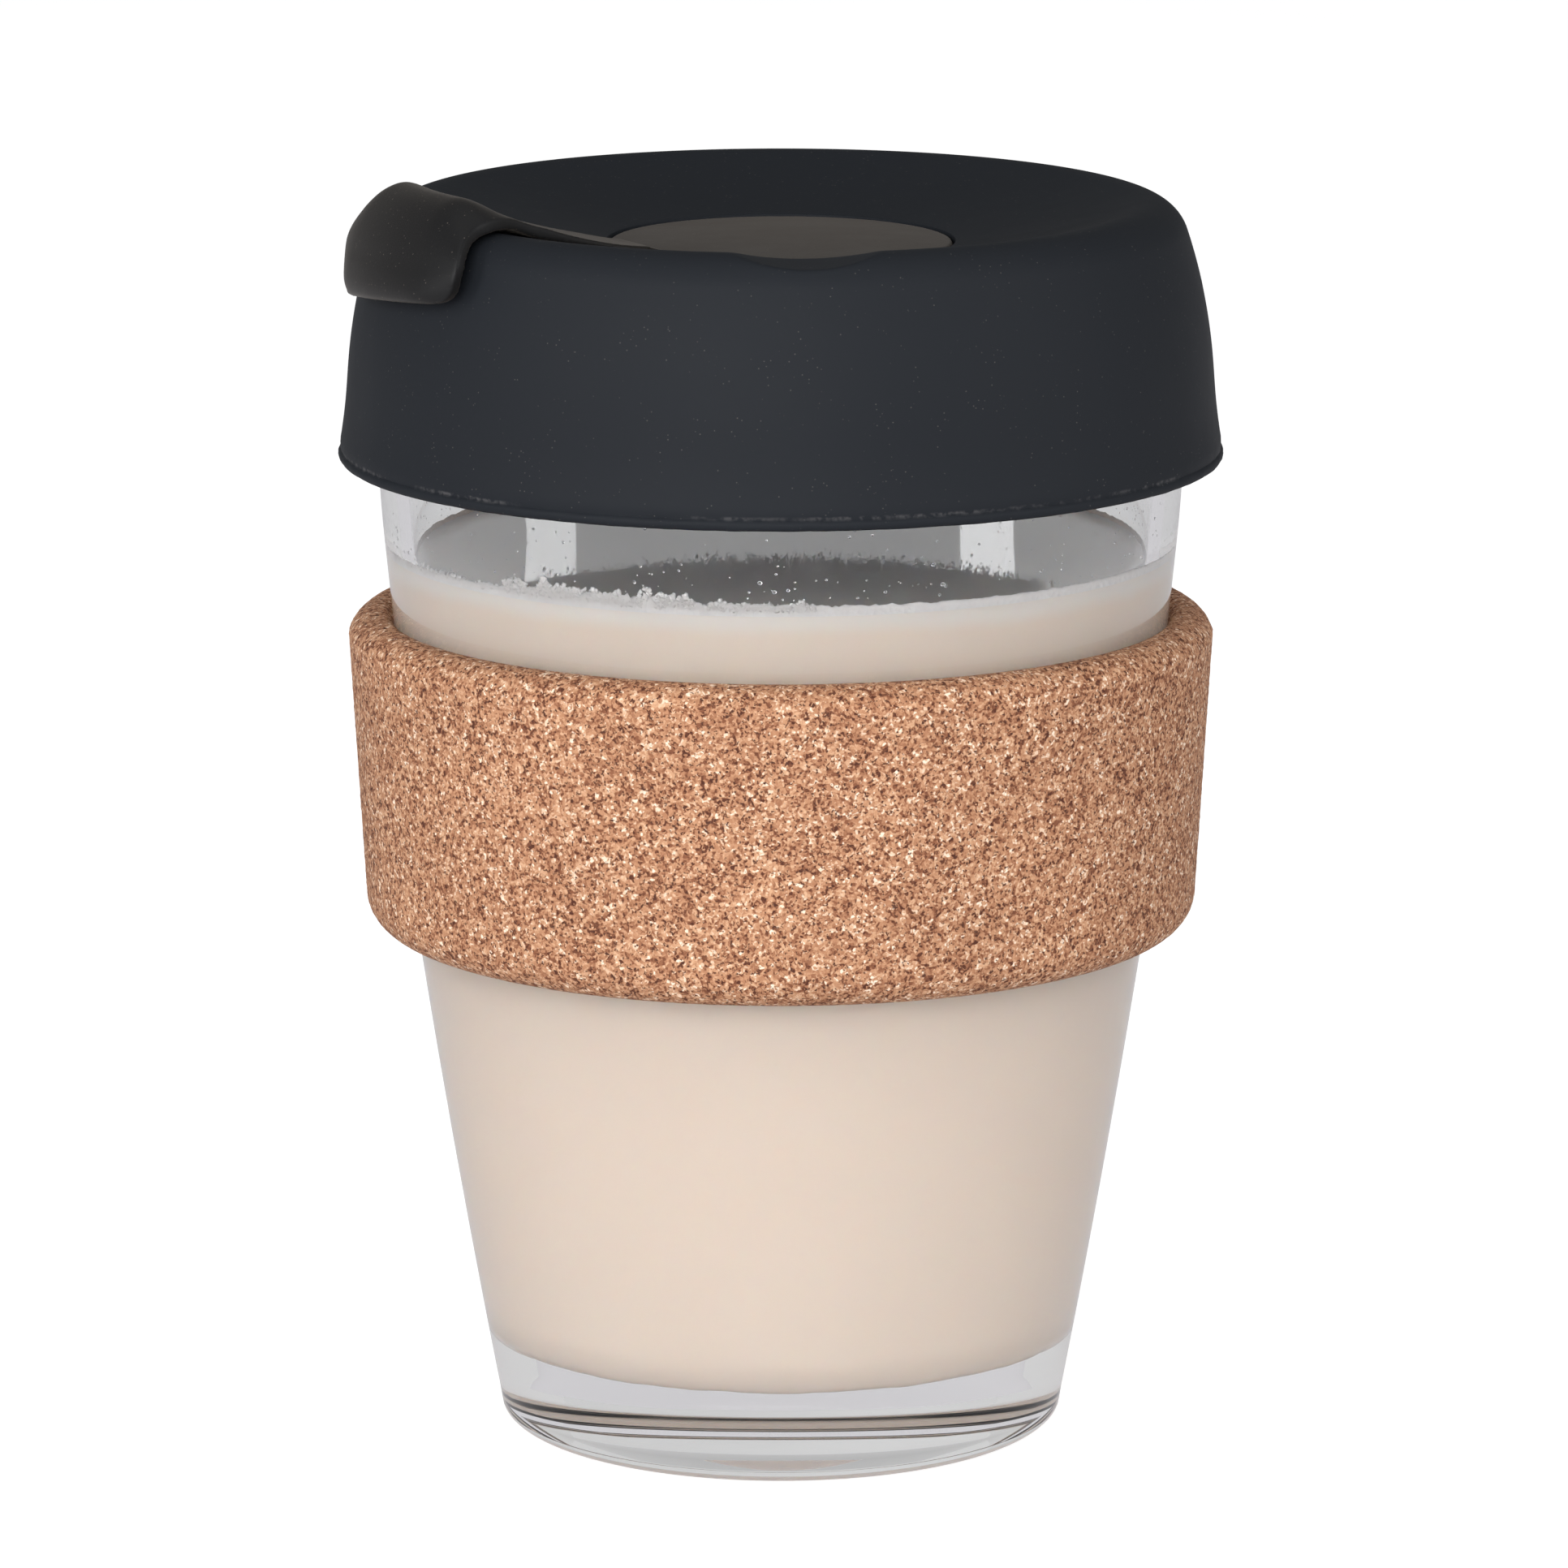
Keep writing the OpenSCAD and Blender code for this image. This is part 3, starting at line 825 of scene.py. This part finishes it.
def build_plug():
    """Disc, arm and tab as one soft moulding: joined, remeshed and relaxed, so that edges round off.

    The disc is thin below where it bends, which keeps it clear of the lid's pocket.
    """
    out = [(0, DISC_Z), (DISC_R, DISC_Z), (DISC_R, DISC_EDGE_Z)]
    for r in np.linspace(DISC_R - 0.5, 0, 20):
        out.append((r, DISC_EDGE_Z + DISC_DOME * (1 - (r / DISC_R) ** 2)))
    skin = revolve("plug_skin", split(out, 0.8), 200)
    thin_from, thin_over, thin_z = 12.8, 1.4, 119.7
    towards = at_tab(1 / MM)
    for v in skin.data.vertices:
        along = v.co.dot(towards) / MM
        if along > thin_from and v.co.z < thin_z * MM:
            f = min(1.0, (along - thin_from) / thin_over)
            v.co.z += (thin_z * MM - v.co.z) * f * f * (3 - 2 * f)
    bm = bmesh.new()
    bm.from_mesh(skin.data)
    add_arm(bm)
    half = 3.5
    web = [(14.2, 119.3), (18.2, 120.95), (18.2, 121.45), (16.6, 121.3), (14.2, 120.6)]
    left = [bm.verts.new(at_tab(r, -half, z)) for r, z in web]
    right = [bm.verts.new(at_tab(r, half, z)) for r, z in web]
    bm.faces.new(left)
    bm.faces.new(right[::-1])
    for i in range(len(web)):
        j = (i + 1) % len(web)
        bm.faces.new([left[i], right[i], right[j], left[j]])
    bmesh.ops.recalc_face_normals(bm, faces=bm.faces)
    bm.to_mesh(skin.data)
    bm.free()
    m = skin.modifiers.new("remesh", "REMESH")
    m.mode, m.voxel_size = "VOXEL", 0.2 * MM
    s = skin.modifiers.new("relax", "SMOOTH")
    s.factor, s.iterations = 0.5, 6
    apply_modifiers(skin)
    shade(skin, 0)
    return skin


def build_stem():
    out = [(0, 114.55), (2.4, 114.55), (2.9, 114.75), (4.3, 115.6), (4.4, 115.9)]
    out += [(4.3, 116.2), (4.1, 116.25), (3.0, 116.25), (3.0, DISC_Z + 0.3), (0, DISC_Z + 0.3)]
    return revolve("plug_stem", split(out, 0.8), 96, None, 40)


def build_stopper():
    out = [(0, 119.4), (1.9, 119.4)]
    out += arc((1.9, 120.0), 0.6, -90, 0, 6)
    out += arc((2.45, 120.9), 0.4, -60, 60, 7)
    out += arc((2.65, 122.0), 0.4, -60, 60, 7)
    out += [(2.9, 122.8), (3.1, 123.9), (0, 123.9)]
    obj = revolve("plug_stub", split(out, 0.5), 72, None, 50)
    obj.data.transform(Matrix.Translation(at_tab(SIP_AT)))
    return obj


# ------------------------------------------------------------ put together


def add_piece(obj, material, body, replaced=()):
    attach(paint(obj, material), body)
    if replaced:
        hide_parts(*replaced)
    return obj


rubber = make_plug()
add_piece(build_glass(), make_glass(), "cup", ["glass_cup"])
add_piece(build_drink(), make_drink(), "cup")
add_piece(build_foam(), make_foam(), "cup")
add_piece(build_beads(), make_water(), "cup")
add_piece(build_band(), make_cork(), "band", ["cork_band"])
add_piece(build_lid(), make_lid(), "lid_body", ["lid"])
add_piece(build_stem(), rubber, "plug_turn")

skin = paint(build_plug(), rubber)
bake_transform(skin)
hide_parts("plug_hub", "plug_arm")

stub = add_piece(build_stopper(), rubber, "plug_lift", ["plug_stopper"])
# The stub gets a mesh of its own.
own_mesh(stub)

# ------------------------------------------------------------ studio

floor = new_object("floor", [(-6, -6, 0), (6, -6, 0), (6, 6, 0), (-6, 6, 0)], [[0, 1, 2, 3]], 0)
paint(floor, make_floor())

corners = [(-0.2, 0.3, 0), (0.2, 0.3, 0), (0.2, 0.3, 0.128), (-0.2, 0.3, 0.128)]
card = new_object("card", corners, [[0, 1, 2, 3]], 0)
card.visible_camera = card.visible_diffuse = card.visible_glossy = card.visible_shadow = False
paint(card, make_card())


def make_world():
    """White to the eye. To light, reflections and glass it is a soft grey room, dimmer overhead."""
    world = bpy.data.worlds.new("studio")
    bpy.context.scene.world = world
    t = Tree(world, "Generated")
    up = t.step(t.axis(2), 0.05, 0.9, 1.0, 0.45, "SMOOTHSTEP")
    front = t.step(t.axis(1), -0.7, 0.5, 1.0, 0.0, "SMOOTHSTEP")
    lights = t.math("MULTIPLY", up, t.step(front, 0.0, 1.0, 0.60, 0.70))
    mirrored = t.math("MULTIPLY", up, t.step(front, 0.0, 1.0, 0.22, 0.50))
    through = t.math("MULTIPLY", up, 0.65)
    rays = t.nodes.new("ShaderNodeLightPath").outputs
    level = t.step(rays["Is Glossy Ray"], 0, 1, lights, mirrored)
    level = t.step(rays["Is Transmission Ray"], 0, 1, level, through)
    level = t.step(rays["Is Camera Ray"], 0, 1, level, 1.0)
    background = t.add("ShaderNodeBackground", {0: (1.0, 1.0, 1.0), 1: level})
    t.put(t.nodes.new("ShaderNodeOutputWorld").inputs[0], background)


def soft_box(name, at, target, size, power):
    data = bpy.data.lights.new(name, "AREA")
    data.shape, data.size, data.size_y = "RECTANGLE", size[0], size[1]
    data.energy = power
    obj = bpy.data.objects.new(name, data)
    obj.location = at
    obj.rotation_mode = "QUATERNION"
    obj.rotation_quaternion = (Vector(target) - Vector(at)).to_track_quat("-Z", "Y")
    bpy.context.scene.collection.objects.link(obj)


make_world()
cup_middle = (0, 0, 0.07)
soft_box("soft_left", (-0.78, -0.46, 0.36), cup_middle, (0.24, 0.66), 2.6)
soft_box("soft_right", (0.82, -0.38, 0.36), cup_middle, (0.24, 0.66), 2.6)
soft_box("soft_front", (-0.25, -1.2, 0.42), cup_middle, (1.0, 0.7), 14.6)
soft_box("soft_top", (0.0, -0.15, 1.1), cup_middle, (0.9, 0.6), 1.6)
# Two narrow strips far behind make the pale patches seen in the gap under the lid.
soft_box("strip_left", (-0.133, 1.5, 0.40), (-0.133, 0, 0.40), (0.046, 0.11), 0.018)
soft_box("strip_right", (0.113, 1.5, 0.40), (0.113, 0, 0.40), (0.041, 0.13), 0.024)

camera = bpy.data.cameras.new("camera")
camera.sensor_width, camera.lens = 36.0, 218.3
camera.clip_start, camera.clip_end = 0.05, 50
eye = bpy.data.objects.new("camera", camera)
bpy.context.scene.collection.objects.link(eye)
eye.location = (0, -0.9335, 0.25873)
eye.rotation_euler = (math.radians(90 - 11.706), 0, math.radians(-0.0195))
bpy.context.scene.camera = eye
scene = bpy.context.scene
scene.view_settings.view_transform = "Standard"
scene.cycles.max_bounces = scene.cycles.transmission_bounces = 24
